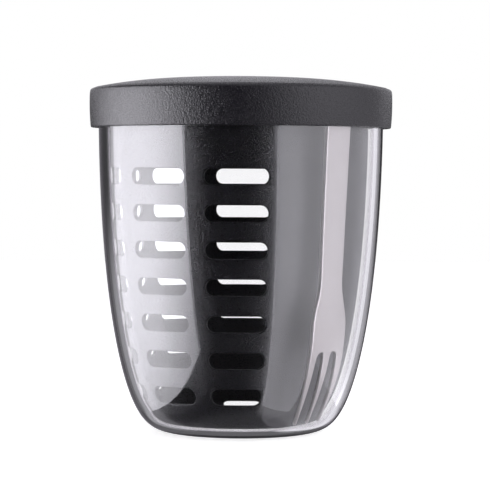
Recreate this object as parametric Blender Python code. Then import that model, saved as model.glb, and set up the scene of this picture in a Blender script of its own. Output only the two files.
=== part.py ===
"""Salad pot: a clear turned pot, a slotted strainer basket, a steel fork and a lid with its seal.

Metres, +Z up. The origin is the middle of the pot's base on the table, -Y is the front.
Azimuths are measured from the front (-Y) towards +X.
"""
import math

import bmesh
import bpy
import numpy as np

# Pot, a body of revolution
LID_EDGE_HEIGHT = 0.1007
POT_RADIUS = 0.0470
POT_WALL = 0.0029
NECK_STEP = 0.0005
NECK_LEDGE = 0.0009
RIM_RISE = 0.0099
RIM_ROUND = 0.0006

# The pot's outline: radius against the depth below the lid's edge, as shares of radius and height
SIDE_LEAN_SHARE = 0.031
SIDE_CURVE_SHARE = 0.162
BELLY_POWER = 4.17
FOOT_POWER = 0.11
FOOT_SHARE = 0.9995

# Strainer basket
BASKET_GAP = 0.0007
BASKET_WALL = 0.0015
BASKET_RIM_DROP = 0.0028
BASKET_RIM_CHAMFER = 0.0004

# Fork bay: the basket's flat wall, set in from the round one
BAY_AZIMUTH = math.radians(54.5)
BAY_TOP_HALF_ANGLE = math.radians(39.0)
BAY_FOOT_HALF_ANGLE = math.radians(43.2)
BAY_SPREAD_POWER = 7.0
BAY_FLOOR_DISTANCE = 0.0227
BAY_LEAST_ANGLE = math.radians(20.0)

# Slots of the basket
SLOT_HEIGHT = 0.0052
SLOT_HALF_ANGLE = math.radians(13.7)
SLOT_COLUMNS = 7
SLOT_COLUMN_PITCH = math.radians(36.0)
SLOT_FIRST_AZIMUTH = math.radians(-1.6)
SLOT_ROWS = 7
SLOT_LOWEST_HEIGHT = 0.0149
SLOT_ROW_PITCH = 0.01165
SLOT_END_STEPS = 4
DRAIN_HEIGHT = 0.0044
DRAIN_FIRST_COLUMN = 5
DRAIN_INNER_RADIUS = 0.0205
FLOOR_SLOT_MIDDLE = 0.0115
FLOOR_SLOT_LENGTH = 0.0095
FLOOR_SLOT_WIDTH = 0.0026
FLOOR_END_STEPS = 2

# Fork
FORK_THICKNESS = 0.0012
FORK_TOP_DROP = 0.0022
FORK_AZIMUTH = math.radians(52.8)
FORK_SEAT_GAP = 0.0004
FORK_TIP_HEIGHT = 0.0054
FORK_TIP_ANGLE = math.radians(27.0)
FORK_LEAN = math.radians(3.0)
HEAD_ARC_RADIUS = 0.0820
HANDLE_END_WIDTH = 0.0129
WAIST_WIDTH = 0.0118
HEAD_WIDTH = 0.0178
TIP_SPAN = 0.0136
TINE_TIP_WIDTH = 0.0006
TINE_GAP_WIDTH = 0.0032
TINE_LENGTH = 0.0245
TINE_ROOT_ROUND = 0.0016
HEAD_LENGTH = 0.0330
WAIST_FROM_TIPS = 0.0470
HANDLE_END_ROUND = 0.0060
HANDLE_END_SHARE = 0.7
HANDLE_END_SHARES = (0.3, 0.55, 0.75, 0.9, 1.0)
TINE_ROOT_SHARES = (0.6, 0.25, 0.0)
TINE_ROOT_LEAST_SHARE = 0.05

# Lid
SKIRT_GAP = 0.0006
LID_LOWER_DRAW = 0.0004
LID_UPPER_DRAW = 0.00015
LID_SIDE_HEIGHT = 0.0135
LID_BULGE_SHARE = 0.62
LID_CORNER_ROUND = 0.0010
LID_LOWER_ROUND = 0.0004
SHOULDER_START_ANGLE = math.radians(80.0)
DOME_RISE = 0.0032
DOME_POWER = 2.4
LID_WALL = 0.0020
SKIRT_BEAD_GAP = 0.0004
SKIRT_BEAD_HEIGHT = 0.0052
SKIRT_BEAD_HALF = 0.0012

# Seal ring and the channel that holds it in the lid
SEAL_GAP = 0.0003
SEAL_THICKNESS = 0.0013
SEAL_INNER_REACH = 0.0010
CHANNEL_WALL = 0.0010
CHANNEL_OVERHANG = 0.0002

# Fineness of the curved faces
TURN_STEPS = 56
OUTLINE_STEPS = 11
ROUND_STEPS = 46
BAY_STEPS = 8
CORNER_STEPS = 2
DOME_STEPS = 5
SIDE_STEPS = 4
TINE_STEPS = 10
HEAD_STEPS = 9
HANDLE_STEPS = 5
STATION_POWER = 2.6
NUDGE_SHARE = 0.1
CURVE_SAMPLES = 600
SHARP_ANGLE = math.radians(35.0)
CUT_OVERRUN = 0.0030
MERGE_DISTANCE = 0.000001


def clear_objects():
    """Remove every object of the open file."""
    for old in list(bpy.data.objects):
        bpy.data.objects.remove(old, do_unlink=True)


def plastic(name, color, roughness, transmission=0.0, ior=1.5):
    """A Principled material of one colour for a moulded piece."""
    material = bpy.data.materials.new(name)
    material.use_nodes = True
    shader = material.node_tree.nodes["Principled BSDF"]
    shader.inputs["Base Color"].default_value = (*color, 1.0)
    shader.inputs["Roughness"].default_value = roughness
    shader.inputs["Metallic"].default_value = 0.0
    shader.inputs["Transmission Weight"].default_value = transmission
    shader.inputs["IOR"].default_value = ior
    return material


def steel(name, color, roughness):
    """A Principled metal for the fork."""
    material = plastic(name, color, roughness)
    material.node_tree.nodes["Principled BSDF"].inputs["Metallic"].default_value = 1.0
    return material


def outer_outline(shares):
    """Radius and height of the pot's outside at shares of its depth below the lid's edge.

    The radius is the top radius, less a straight lean and a curve that grows with the depth,
    times a rounding towards the base: (1 - depth to the belly power) to the foot power.
    """
    side = 1.0 - SIDE_LEAN_SHARE * shares - SIDE_CURVE_SHARE * shares ** 2
    foot = (1.0 - shares ** BELLY_POWER) ** FOOT_POWER
    radius = POT_RADIUS * side * foot
    height = LID_EDGE_HEIGHT * (1.0 - shares / FOOT_SHARE)
    return radius, height


def inset_outline(inset, steps):
    """The pot's outline moved in by a wall, from the base's edge up, as radii and heights."""
    even = np.linspace(0.0, 1.0, steps + 1)
    shares = FOOT_SHARE * (1.0 - even ** STATION_POWER)
    nudge = NUDGE_SHARE * (1.0 - FOOT_SHARE)
    radius, height = outer_outline(shares)
    radius_above, height_above = outer_outline(np.maximum(shares - nudge, 0.0))
    radius_below, height_below = outer_outline(shares + nudge)
    along_radius = radius_above - radius_below
    along_height = height_above - height_below
    length = np.hypot(along_radius, along_height)
    moved_radius = radius - inset * along_height / length
    moved_height = height + inset * along_radius / length
    return moved_radius, moved_height


def radius_at(inset, height):
    """Radius of the inset outline at one height; above the lid's edge the wall is upright."""
    radii, heights = inset_outline(inset, CURVE_SAMPLES)
    return float(np.interp(height, heights, radii))


def outline_stations(inset, steps):
    """Points of the inset outline from the base's edge to the height of the lid's edge."""
    radii, heights = inset_outline(inset, steps)
    points = [(float(r), float(z)) for r, z in zip(radii, heights)]
    points[-1] = (POT_RADIUS - inset, LID_EDGE_HEIGHT)
    return points


def arc(center, radius, start, end, steps):
    """Points of an arc in the radius and height plane, both ends included."""
    angles = np.linspace(start, end, steps + 1)
    return [(center[0] + radius * math.cos(a), center[1] + radius * math.sin(a)) for a in angles]


def finish_object(name, form, material, smooth=True):
    """Turn a bmesh into a named object with outward faces, a material and smooth shading."""
    bmesh.ops.recalc_face_normals(form, faces=form.faces)
    mesh = bpy.data.meshes.new(name)
    form.to_mesh(mesh)
    form.free()
    mesh.materials.append(material)
    if smooth:
        mesh.shade_smooth()
        mesh.set_sharp_from_angle(angle=SHARP_ANGLE)
    made = bpy.data.objects.new(name, mesh)
    bpy.context.scene.collection.objects.link(made)
    return made


def turned(name, profile, material, closed):
    """Spin a profile about the pot's axis; a closed profile makes a ring."""
    form = bmesh.new()
    points = [form.verts.new((r, 0.0, z)) for r, z in profile]
    pairs = list(zip(points, points[1:]))
    if closed:
        pairs.append((points[-1], points[0]))
    edges = [form.edges.new(pair) for pair in pairs]
    bmesh.ops.spin(
        form,
        geom=points + edges,
        cent=(0.0, 0.0, 0.0),
        axis=(0.0, 0.0, 1.0),
        angle=2.0 * math.pi,
        steps=TURN_STEPS,
        use_merge=True,
    )
    bmesh.ops.remove_doubles(form, verts=form.verts, dist=MERGE_DISTANCE)
    return finish_object(name, form, material)


def lofted(form, rings):
    """Bridge rings of equal count into a closed body with a flat cap at each end."""
    loops = [[form.verts.new(point) for point in ring] for ring in rings]
    for lower, upper in zip(loops, loops[1:]):
        count = len(lower)
        for i in range(count):
            j = (i + 1) % count
            form.faces.new((lower[i], lower[j], upper[j], upper[i]))
    form.faces.new(list(reversed(loops[0])))
    form.faces.new(loops[-1])


def on_azimuth(azimuth, radial, across, height):
    """World point from a distance along an azimuth, a distance across it and a height."""
    x = radial * math.sin(azimuth) + across * math.cos(azimuth)
    y = -radial * math.cos(azimuth) + across * math.sin(azimuth)
    return (x, y, height)


def make_pot(material):
    """The clear pot: outer outline, neck with a ledge below the lid, round rim, inner outline."""
    neck_radius = POT_RADIUS - NECK_STEP
    rim_height = LID_EDGE_HEIGHT + RIM_RISE
    ledge_height = LID_EDGE_HEIGHT - NECK_LEDGE
    outside = outline_stations(0.0, OUTLINE_STEPS)
    outside[0] = (outside[0][0], 0.0)
    outside[-1] = (radius_at(0.0, ledge_height), ledge_height)
    inside = outline_stations(POT_WALL, OUTLINE_STEPS)
    inner_radius = POT_RADIUS - POT_WALL
    outer_rim = arc(
        (neck_radius - RIM_ROUND, rim_height - RIM_ROUND), RIM_ROUND, 0.0, math.pi / 2.0, CORNER_STEPS
    )
    inner_rim = arc(
        (inner_radius + RIM_ROUND, rim_height - RIM_ROUND), RIM_ROUND, math.pi / 2.0, math.pi, CORNER_STEPS
    )
    profile = [(0.0, 0.0)]
    profile += outside
    profile += [(neck_radius, ledge_height + NECK_STEP)]
    profile += outer_rim + inner_rim
    profile += list(reversed(inside))
    profile += [(0.0, inside[0][1])]
    return turned("outer_pot", profile, material, False)


def basket_inset():
    """How far the basket's outside lies inside the pot's outside."""
    return POT_WALL + BASKET_GAP


def bay_distance(height):
    """Distance of the bay wall's outer face from the axis at one height.

    The wall keeps to the angle between its two edges, which opens a little towards the foot,
    and goes straight down where that would bring it too close to the axis.
    """
    depth_share = max(0.0, 1.0 - height / LID_EDGE_HEIGHT)
    spread = (BAY_FOOT_HALF_ANGLE - BAY_TOP_HALF_ANGLE) * depth_share ** BAY_SPREAD_POWER
    follow = radius_at(basket_inset(), height) * math.cos(BAY_TOP_HALF_ANGLE + spread)
    return max(follow, BAY_FLOOR_DISTANCE)


def basket_ring(depth, radius, height):
    """One ring of the basket, depth into its wall: round, and flat across the fork bay.

    The stations gather on the bay's two edges, so that the crease stays crisp.
    """
    distance = bay_distance(height) - depth
    half = math.acos(min(1.0, distance / radius))
    spread = max(half, BAY_LEAST_ANGLE)
    bay = np.linspace(-spread, spread, BAY_STEPS, endpoint=False)
    rest = np.linspace(spread, 2.0 * math.pi - spread, ROUND_STEPS, endpoint=False)
    ring = []
    for turn in np.concatenate([bay, rest]):
        reach = radius
        if math.cos(turn) > 0.0:
            reach = min(radius, distance / math.cos(turn))
        ring.append(on_azimuth(BAY_AZIMUTH + turn, reach, 0.0, height))
    return ring


def make_basket(material):
    """The strainer basket: a shell that follows the pot, with a flat bay wall for the fork."""
    inset = basket_inset()
    top = LID_EDGE_HEIGHT + RIM_RISE - BASKET_RIM_DROP
    outer_radius = POT_RADIUS - inset
    inner_radius = outer_radius - BASKET_WALL
    outside = outline_stations(inset, OUTLINE_STEPS)
    inside = outline_stations(inset + BASKET_WALL, OUTLINE_STEPS)
    rings = [basket_ring(0.0, r, z) for r, z in outside]
    rings += [
        basket_ring(0.0, outer_radius, top - BASKET_RIM_CHAMFER),
        basket_ring(BASKET_RIM_CHAMFER, outer_radius - BASKET_RIM_CHAMFER, top),
        basket_ring(BASKET_WALL - BASKET_RIM_CHAMFER, inner_radius + BASKET_RIM_CHAMFER, top),
        basket_ring(BASKET_WALL, inner_radius, top - BASKET_RIM_CHAMFER),
    ]
    rings += [basket_ring(BASKET_WALL, r, z) for r, z in reversed(inside)]
    form = bmesh.new()
    lofted(form, rings)
    return finish_object("strainer_basket", form, material)


def stadium(half_width, half_height, steps):
    """Outline of a slot with fully round ends, across and up, anticlockwise."""
    reach = half_width - half_height
    right = arc((reach, 0.0), half_height, -math.pi / 2.0, math.pi / 2.0, steps)
    left = arc((-reach, 0.0), half_height, math.pi / 2.0, 1.5 * math.pi, steps)
    return right + left


def add_wall_slot(form, azimuth, height, inner, outer):
    """A radial cutter whose width grows with the distance from the axis."""
    radius = radius_at(basket_inset(), height)
    outline = stadium(radius * math.tan(SLOT_HALF_ANGLE), SLOT_HEIGHT / 2.0, SLOT_END_STEPS)
    rings = []
    for radial in (inner, outer):
        wider = radial / radius
        rings.append([on_azimuth(azimuth, radial, u * wider, height + v) for u, v in outline])
    lofted(form, rings)


def add_floor_slot(form, azimuth):
    """An upright cutter through the basket's floor, long along the azimuth."""
    outline = stadium(FLOOR_SLOT_LENGTH / 2.0, FLOOR_SLOT_WIDTH / 2.0, FLOOR_END_STEPS)
    low = basket_inset() - CUT_OVERRUN
    high = basket_inset() + BASKET_WALL + CUT_OVERRUN
    lofted(form, [[on_azimuth(azimuth, FLOOR_SLOT_MIDDLE + u, v, z) for u, v in outline] for z in (low, high)])


def make_slot_cutter():
    """All slots of the basket as one guide body: wall rows, low drain slots and floor slots."""
    form = bmesh.new()
    for column in range(SLOT_COLUMNS):
        azimuth = SLOT_FIRST_AZIMUTH - column * SLOT_COLUMN_PITCH
        for row in range(SLOT_ROWS):
            height = SLOT_LOWEST_HEIGHT + row * SLOT_ROW_PITCH
            lower = radius_at(basket_inset(), height - SLOT_HEIGHT / 2.0)
            upper = radius_at(basket_inset(), height + SLOT_HEIGHT / 2.0)
            inner = lower * math.cos(SLOT_HALF_ANGLE) - BASKET_WALL - CUT_OVERRUN
            add_wall_slot(form, azimuth, height, inner, upper + CUT_OVERRUN)
        if column >= DRAIN_FIRST_COLUMN:
            upper = radius_at(basket_inset(), DRAIN_HEIGHT + SLOT_HEIGHT / 2.0)
            add_wall_slot(form, azimuth, DRAIN_HEIGHT, DRAIN_INNER_RADIUS, upper + CUT_OVERRUN)
        add_floor_slot(form, azimuth)
    return form


def cut_slots(basket, material):
    """Cut the slots out of the basket with a hidden wire guide."""
    cutter = finish_object("slot_guide", make_slot_cutter(), material, smooth=False)
    cutter.hide_render = True
    cutter.display_type = "WIRE"
    cut = basket.modifiers.new("slots", "BOOLEAN")
    cut.operation = "DIFFERENCE"
    cut.solver = "EXACT"
    cut.object = cutter


def head_arc_length():
    """Length of the arc in which the fork's head bends."""
    return HEAD_ARC_RADIUS * (FORK_TIP_ANGLE - FORK_LEAN)


def fork_length():
    """Length along the fork: its handle ends a little below the pot's rim."""
    head_rise = HEAD_ARC_RADIUS * (math.sin(FORK_TIP_ANGLE) - math.sin(FORK_LEAN))
    top = LID_EDGE_HEIGHT + RIM_RISE - FORK_TOP_DROP
    handle_rise = top - FORK_TIP_HEIGHT - head_rise
    return head_arc_length() + handle_rise / math.cos(FORK_LEAN)


def fork_path(distance):
    """Place of the fork's middle line at a distance from its tips.

    Returns how far out and up from the tips it is. The head follows an arc that turns from the
    tips' angle to the handle's lean, and the handle runs straight.
    """
    along = min(distance, head_arc_length())
    angle = FORK_TIP_ANGLE - along / HEAD_ARC_RADIUS
    out = HEAD_ARC_RADIUS * (math.cos(angle) - math.cos(FORK_TIP_ANGLE))
    up = HEAD_ARC_RADIUS * (math.sin(FORK_TIP_ANGLE) - math.sin(angle))
    straight = distance - along
    out += straight * math.sin(FORK_LEAN)
    up += straight * math.cos(FORK_LEAN)
    return out, up


def smooth_step(value):
    """Ease from 0 to 1."""
    held = min(1.0, max(0.0, value))
    return held * held * (3.0 - 2.0 * held)


def fork_half_width(distance):
    """Half the fork's full width at a distance from its tips."""
    if distance < TINE_LENGTH:
        ease = math.sin(0.5 * math.pi * distance / TINE_LENGTH)
        return 0.5 * (TIP_SPAN + (HEAD_WIDTH - TIP_SPAN) * ease)
    if distance < WAIST_FROM_TIPS:
        ease = smooth_step((distance - HEAD_LENGTH) / (WAIST_FROM_TIPS - HEAD_LENGTH))
        return 0.5 * (HEAD_WIDTH + (WAIST_WIDTH - HEAD_WIDTH) * ease)
    share = (distance - WAIST_FROM_TIPS) / (fork_length() - WAIST_FROM_TIPS)
    width = WAIST_WIDTH + (HANDLE_END_WIDTH - WAIST_WIDTH) * share
    over = max(0.0, distance - (fork_length() - HANDLE_END_ROUND)) / HANDLE_END_ROUND
    return 0.5 * width * math.sqrt(1.0 - HANDLE_END_SHARE * over ** 2)


def fork_lines(distance):
    """The six lines across the fork that bound its three tines and two gaps."""
    half = fork_half_width(distance)
    share = min(1.0, distance / TINE_LENGTH)
    root_tine = (HEAD_WIDTH - 2.0 * TINE_GAP_WIDTH) / 3.0
    tine = TINE_TIP_WIDTH + (root_tine - TINE_TIP_WIDTH) * share
    to_root = (TINE_LENGTH - distance) / TINE_ROOT_ROUND
    if to_root < 1.0:
        rounding = math.sqrt(max(TINE_ROOT_LEAST_SHARE, 1.0 - (1.0 - max(0.0, to_root)) ** 2))
        gap = TINE_GAP_WIDTH * rounding
        tine = (2.0 * half - 2.0 * gap) / 3.0
    return [-half, -half + tine, -tine / 2.0, tine / 2.0, half - tine, half]


def fork_tip_radial():
    """Distance of the tips' middle line from the axis: the outer tines rest near the pot."""
    room = radius_at(POT_WALL + FORK_SEAT_GAP + FORK_THICKNESS / 2.0, FORK_TIP_HEIGHT)
    return math.sqrt(room ** 2 - (TIP_SPAN / 2.0) ** 2)


def fork_stations():
    """Distances from the tips at which the fork's sheet has a row of points."""
    length = fork_length()
    tines = np.linspace(0.0, TINE_LENGTH - TINE_ROOT_ROUND, TINE_STEPS)
    roots = TINE_LENGTH - TINE_ROOT_ROUND * np.array(TINE_ROOT_SHARES)
    head = np.linspace(TINE_LENGTH, WAIST_FROM_TIPS, HEAD_STEPS)[1:]
    handle = np.linspace(WAIST_FROM_TIPS, length - HANDLE_END_ROUND, HANDLE_STEPS)[1:]
    end = length - HANDLE_END_ROUND * (1.0 - np.array(HANDLE_END_SHARES))
    return np.concatenate([tines, roots, head, handle, end])


def make_fork(material):
    """The steel fork: a bent sheet with three tines, given its thickness by Solidify."""
    tip = fork_tip_radial()
    form = bmesh.new()
    rows = []
    stations = fork_stations()
    for distance in stations:
        out, up = fork_path(distance)
        row = [
            form.verts.new(on_azimuth(FORK_AZIMUTH, tip + out, across, FORK_TIP_HEIGHT + up))
            for across in fork_lines(distance)
        ]
        rows.append(row)
    for index, (lower, upper) in enumerate(zip(rows, rows[1:])):
        in_tines = stations[index] < TINE_LENGTH - MERGE_DISTANCE
        for strip in range(len(lower) - 1):
            is_gap = strip % 2 == 1
            if in_tines and is_gap:
                continue
            form.faces.new((lower[strip], lower[strip + 1], upper[strip + 1], upper[strip]))
    loose = [v for v in form.verts if not v.link_faces]
    bmesh.ops.delete(form, geom=loose, context="VERTS")
    fork = finish_object("fork", form, material)
    sheet = fork.modifiers.new("sheet thickness", "SOLIDIFY")
    sheet.thickness = FORK_THICKNESS
    sheet.offset = 0.0
    return fork


def lid_radius():
    """Largest radius of the lid: its skirt goes round the pot with a gap and a wall."""
    return POT_RADIUS + SKIRT_GAP + LID_WALL + LID_LOWER_DRAW


def lid_side_radius(height):
    """Radius of the lid's side, which bulges a little between its two edges."""
    middle = LID_EDGE_HEIGHT + LID_BULGE_SHARE * LID_SIDE_HEIGHT
    if height < middle:
        share = (middle - height) / (middle - LID_EDGE_HEIGHT)
        return lid_radius() - LID_LOWER_DRAW * share ** 2
    share = (height - middle) / (LID_EDGE_HEIGHT + LID_SIDE_HEIGHT - middle)
    return lid_radius() - LID_UPPER_DRAW * share ** 2


def dome_height(radius):
    """Height of the lid's top face: a shallow dome over its side corner."""
    share = radius / lid_radius()
    return LID_EDGE_HEIGHT + LID_SIDE_HEIGHT + DOME_RISE * (1.0 - share ** DOME_POWER)


def seal_bottom():
    """Height of the seal's underside over the pot's rim."""
    return LID_EDGE_HEIGHT + RIM_RISE + SEAL_GAP


def seal_inner_radius():
    """Inner radius of the seal ring, which reaches a little inside the rim."""
    return POT_RADIUS - POT_WALL - SEAL_INNER_REACH


def skirt_radius():
    """Inner radius of the lid's skirt at its lower edge."""
    return lid_side_radius(LID_EDGE_HEIGHT) - LID_WALL


def channel_ceiling():
    """Height of the flat face over the seal."""
    return seal_bottom() + SEAL_THICKNESS + SEAL_GAP


def lid_profile():
    """Cross-section of the lid from the middle of its top, out, down and back inside."""
    lower = LID_EDGE_HEIGHT
    corner = LID_EDGE_HEIGHT + LID_SIDE_HEIGHT
    dome_radii = np.linspace(0.0, lid_radius() - 2.0 * LID_CORNER_ROUND, DOME_STEPS)
    top = [(float(r), float(dome_height(r))) for r in dome_radii]
    round_center = (lid_side_radius(corner) - LID_CORNER_ROUND, corner - LID_CORNER_ROUND)
    shoulder = arc(round_center, LID_CORNER_ROUND, SHOULDER_START_ANGLE, 0.0, CORNER_STEPS)
    side_heights = np.linspace(corner - 2.0 * LID_CORNER_ROUND, lower + 2.0 * LID_LOWER_ROUND, SIDE_STEPS)
    side = [(float(lid_side_radius(z)), float(z)) for z in side_heights]
    foot_center = (lid_side_radius(lower) - LID_LOWER_ROUND, lower + LID_LOWER_ROUND)
    foot = arc(foot_center, LID_LOWER_ROUND, 0.0, -math.pi / 2.0, CORNER_STEPS)
    skirt = skirt_radius()
    bead = POT_RADIUS - NECK_STEP + SKIRT_BEAD_GAP
    bead_height = lower + SKIRT_BEAD_HEIGHT
    inner = [
        (skirt, lower),
        (skirt, bead_height - 2.0 * SKIRT_BEAD_HALF),
        (bead, bead_height - SKIRT_BEAD_HALF),
        (bead, bead_height + SKIRT_BEAD_HALF),
        (skirt, bead_height + 2.0 * SKIRT_BEAD_HALF),
        (skirt, channel_ceiling()),
    ]
    channel_outer = seal_inner_radius() - SEAL_GAP
    channel_inner = channel_outer - CHANNEL_WALL
    channel_foot = seal_bottom() + CHANNEL_OVERHANG
    inner += [
        (channel_outer, channel_ceiling()),
        (channel_outer, channel_foot),
        (channel_inner, channel_foot),
        (channel_inner, float(dome_height(channel_inner)) - LID_WALL),
    ]
    ceiling_radii = np.linspace(channel_inner, 0.0, DOME_STEPS)[1:]
    ceiling = [(float(r), float(dome_height(r)) - LID_WALL) for r in ceiling_radii]
    return top + shoulder + side + foot + inner + ceiling


def make_lid(material):
    """The push-on lid: shallow dome, slightly bulged skirt, retaining bead and seal channel."""
    return turned("lid", lid_profile(), material, False)


def make_seal(material):
    """The flexible seal ring between the lid and the pot's rim."""
    low = seal_bottom()
    inner = seal_inner_radius()
    outer = skirt_radius() - SEAL_GAP
    high = low + SEAL_THICKNESS
    return turned("lid_seal", [(inner, low), (outer, low), (outer, high), (inner, high)], material, True)


def main():
    """Build the five pieces."""
    clear_objects()
    clear_plastic = plastic("clear styrene plastic", (0.93, 0.92, 0.95), 0.02, 1.0, 1.57)
    black_plastic = plastic("black grained polypropylene", (0.016, 0.016, 0.018), 0.42)
    lid_plastic = plastic("black grained lid plastic", (0.018, 0.018, 0.020), 0.38)
    seal_rubber = plastic("dark silicone", (0.030, 0.030, 0.032), 0.60)
    fork_steel = steel("satin stainless steel", (0.62, 0.61, 0.60), 0.30)
    make_pot(clear_plastic)
    basket = make_basket(black_plastic)
    cut_slots(basket, black_plastic)
    make_fork(fork_steel)
    make_lid(lid_plastic)
    make_seal(seal_rubber)


main()
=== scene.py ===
"""Looks of the salad pot: clear pot, slotted strainer basket, steel fork, grained lid and its seal.

Metres, +Z up, origin at the middle of the pot's base, -Y is the front.
Azimuths are measured from the front (-Y) towards +X.
"""
import math

import bmesh
import bpy
import numpy as np
from mathutils import Euler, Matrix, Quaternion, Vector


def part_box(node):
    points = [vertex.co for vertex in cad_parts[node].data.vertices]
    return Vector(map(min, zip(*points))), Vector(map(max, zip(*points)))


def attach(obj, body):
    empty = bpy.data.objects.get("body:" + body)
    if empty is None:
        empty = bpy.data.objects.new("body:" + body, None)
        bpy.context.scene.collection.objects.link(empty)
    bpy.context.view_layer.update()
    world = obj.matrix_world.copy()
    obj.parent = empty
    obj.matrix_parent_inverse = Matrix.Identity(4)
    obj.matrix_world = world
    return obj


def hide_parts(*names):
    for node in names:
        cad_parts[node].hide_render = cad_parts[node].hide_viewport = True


bl_info = {
    "name": "Salad pot with strainer basket and fork",
    "version": (1, 0, 0),
    "blender": (4, 5, 0),
    "location": "3D View > Sidebar > Salad pot",
    "description": "Builds the clear pot, the slotted basket, the fork, the lid and a plain studio",
    "category": "Add Mesh",
}

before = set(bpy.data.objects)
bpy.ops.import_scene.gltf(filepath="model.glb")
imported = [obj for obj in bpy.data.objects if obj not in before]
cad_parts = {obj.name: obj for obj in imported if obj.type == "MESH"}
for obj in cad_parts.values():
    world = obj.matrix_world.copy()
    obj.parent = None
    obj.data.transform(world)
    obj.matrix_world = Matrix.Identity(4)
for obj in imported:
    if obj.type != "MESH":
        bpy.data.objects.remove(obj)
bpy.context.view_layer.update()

MM = 0.001

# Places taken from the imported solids
POT_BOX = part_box("outer_pot")
LID_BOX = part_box("lid")
SEAL_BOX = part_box("lid_seal")
POT_RADIUS = POT_BOX[1].x
RIM_TOP = POT_BOX[1].z
BASKET_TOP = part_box("strainer_basket")[1].z
FORK_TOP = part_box("fork")[1].z
LID_EDGE = LID_BOX[0].z
LID_RADIUS = LID_BOX[1].x
SEAL_LOW = SEAL_BOX[0].z
SEAL_HIGH = SEAL_BOX[1].z
SEAL_OUTER = SEAL_BOX[1].x

POT_WALL = 2.9 * MM
BASKET_GAP = 0.7 * MM
BASKET_INSET = POT_WALL + BASKET_GAP
SEAL_COVER = 1.0 * MM
SEAL_INNER = POT_RADIUS - POT_WALL - SEAL_COVER

# The pot's outline: radius against the depth below the lid's edge, as shares of radius and height
SIDE_LEAN = 0.031
SIDE_CURVE = 0.162
BELLY_POWER = 4.17
FOOT_POWER = 0.11
FOOT_SHARE = 0.9995
FOOT_CROWDING = 2.6

# The pot's section; the wall loses up to a share of its thickness below a height
FOOT_THINNING = 0.6
FOOT_HEIGHT = 9.5 * MM
BASE_EDGE = 1.2 * MM
LEDGE_RISE = 1.2 * MM
SHOULDER_RISE = 0.42 * MM
NECK_RISE = 0.6 * MM
NECK_INSET = 0.5 * MM
RIM_ROUND = 0.6 * MM
ROUND_STEPS = 6

# Fineness of the turned pieces, and of the tables that the outline is looked up in
OUTLINE_STEPS = 90
TURN_STEPS = 288
SEAL_STEPS = 192
RADIUS_TABLE = 2000
SECTION_TABLE = 3000
FOOT_TABLE = 400

# The fork bay of the basket
BAY_AZIMUTH = math.radians(54.5)
BAY_TOP_HALF = math.radians(39.0)
BAY_FOOT_HALF = math.radians(43.2)
BAY_SPREAD_POWER = 7.0
BAY_FLOOR_DISTANCE = 22.7 * MM
BAY_LEAST_HALF = math.radians(20.0)
BAY_MARGIN = math.radians(0.35)
CREASE_EASE = 0.12 * MM
LEAST_COSINE = 0.2
# The bay's mark fades over this much depth, below this depth from its outer face
MARK_DEPTH = 0.3 * MM
MARK_FADE = 0.4 * MM

# The basket's slots
SLOT_HALF_ANGLE = math.radians(13.7)
COLUMN_PITCH = math.radians(36.0)
FIRST_COLUMN = math.radians(-1.6)
COLUMNS = 7
ROWS = 7
LOWEST_ROW = 14.9 * MM
ROW_PITCH = 11.65 * MM
DRAIN_MIDDLE = 4.4 * MM
DRAIN_INNER = 20.5 * MM
DRAIN_ROUND_SHARE = 0.8
FIRST_DRAIN_COLUMN = 5
FLOOR_SLOT_MIDDLE = 11.5 * MM
FLOOR_SLOT_LENGTH = 9.5 * MM
FLOOR_SLOT_WIDTH = 2.6 * MM
FLOOR_HUB = 4.6 * MM
SLOT_EDGE = 0.3 * MM
BASKET_RIM_ROUND = 0.4 * MM
# Steps across a column of slots, the bay and the plain part of the wall; the bay's crowd at its edges
COLUMN_STEPS = 16
BAY_STEPS = 32
PLAIN_STEPS = 10

# The fork's outline
FORK_AZIMUTH = math.radians(52.8)
FORK_LEAN = math.radians(3.0)
TIP_ANGLE = math.radians(27.0)
TIP_HEIGHT = 5.4 * MM
FORK_SEAT_GAP = 0.4 * MM
HEAD_ARC = 82.0 * MM
HANDLE_END_WIDTH = 12.9 * MM
WAIST_WIDTH = 11.8 * MM
HEAD_WIDTH = 17.8 * MM
TIP_SPAN = 13.6 * MM
TINE_TIP = 0.6 * MM
TINE_GAP = 3.2 * MM
TINE_LENGTH = 24.5 * MM
ROOT_ROUND = 1.6 * MM
HEAD_LENGTH = 33.0 * MM
WAIST_AT = 47.0 * MM
HANDLE_ROUND = 6.0 * MM
END_ROUNDING = 0.7

# The lid's section
LID_SIDE_HEIGHT = 12.8 * MM
LID_BULGE_SHARE = 0.65
LID_LOWER_DRAW = 0.4 * MM
LID_UPPER_DRAW = 0.15 * MM
LID_CORNER = 1.0 * MM
LID_FOOT = 0.4 * MM
DOME_RISE = LID_BOX[1].z - LID_EDGE - LID_SIDE_HEIGHT
DOME_POWER = 2.8
BEAD_RISE = 5.2 * MM
BEAD_HALF = 2.4 * MM
BEAD_GAP = 0.1 * MM
SEAL_GAP = 0.3 * MM
LIP_WIDTH = 1.0 * MM
LIP_ROUND = 0.2 * MM
SEAL_ROUND = 0.3 * MM


# Meshes


def mesh_object(name, points, faces, merge=0.0):
    """Put points and faces into a mesh at the origin; merge closes the seams between patches."""
    mesh = bpy.data.meshes.new(name)
    mesh.from_pydata(points.tolist(), [], faces)
    made = bpy.data.objects.new(name, mesh)
    bpy.context.scene.collection.objects.link(made)
    form = bmesh.new()
    form.from_mesh(mesh)
    if merge > 0.0:
        bmesh.ops.remove_doubles(form, verts=form.verts, dist=merge)
    bmesh.ops.recalc_face_normals(form, faces=form.faces)
    form.to_mesh(mesh)
    form.free()
    mesh.shade_smooth()
    return made


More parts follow.
